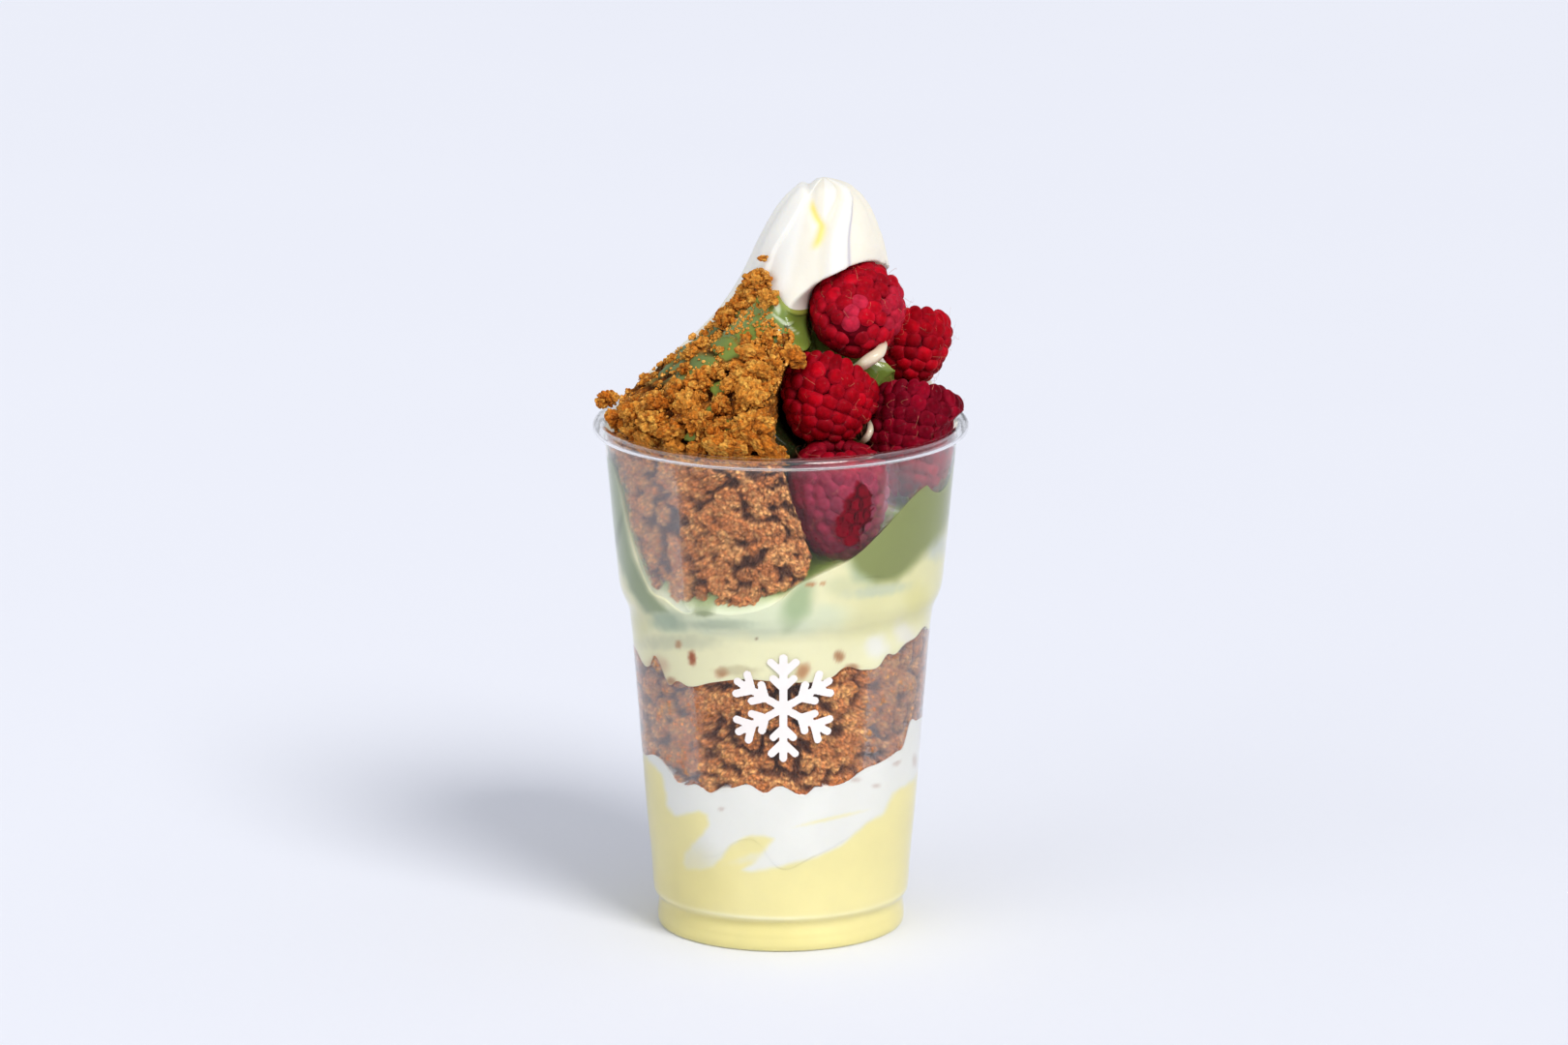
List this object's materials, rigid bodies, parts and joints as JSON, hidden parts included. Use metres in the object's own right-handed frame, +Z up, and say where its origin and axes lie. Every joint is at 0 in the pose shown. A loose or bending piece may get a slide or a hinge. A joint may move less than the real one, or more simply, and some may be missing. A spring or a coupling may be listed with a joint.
{
  "type": "frozen yogurt cup",
  "caption": "Clear tapered plastic cup layered with cream, yogurt and biscuit crumbs, topped with a soft-serve peak, a crumb heap and raspberries.",
  "frame": {"origin": "centre of the cup's foot, on the surface that it stands on", "axes": "+Z up along the cup's axis; -Y towards the front that the picture shows; +X towards the raspberries"},
  "size_m": [0.0948, 0.0948, 0.193],
  "materials": {
    "clear_plastic": "clear, glossy",
    "yellow_cream": "smooth, moist",
    "white_yogurt": "smooth, moist",
    "biscuit_crumbs": "rough, dry",
    "pale_cream": "smooth, moist",
    "pistachio_cream": "smooth, glossy",
    "soft_serve": "smooth, moist",
    "raspberry": "velvety drupelets, moist between them"
  },
  "bodies": {
    "root": {"cup": "clear_plastic", "yellow_cream": "yellow_cream", "white_yogurt": "white_yogurt", "crumb_band": "biscuit_crumbs", "pale_cream": "pale_cream", "pistachio_cream": "pistachio_cream", "swirl": "soft_serve", "crumb_heap": "biscuit_crumbs", "raspberry_1": "raspberry", "raspberry_2": "raspberry", "raspberry_3": "raspberry", "raspberry_4": "raspberry", "raspberry_5": "raspberry"}
  },
  "joints": []
}
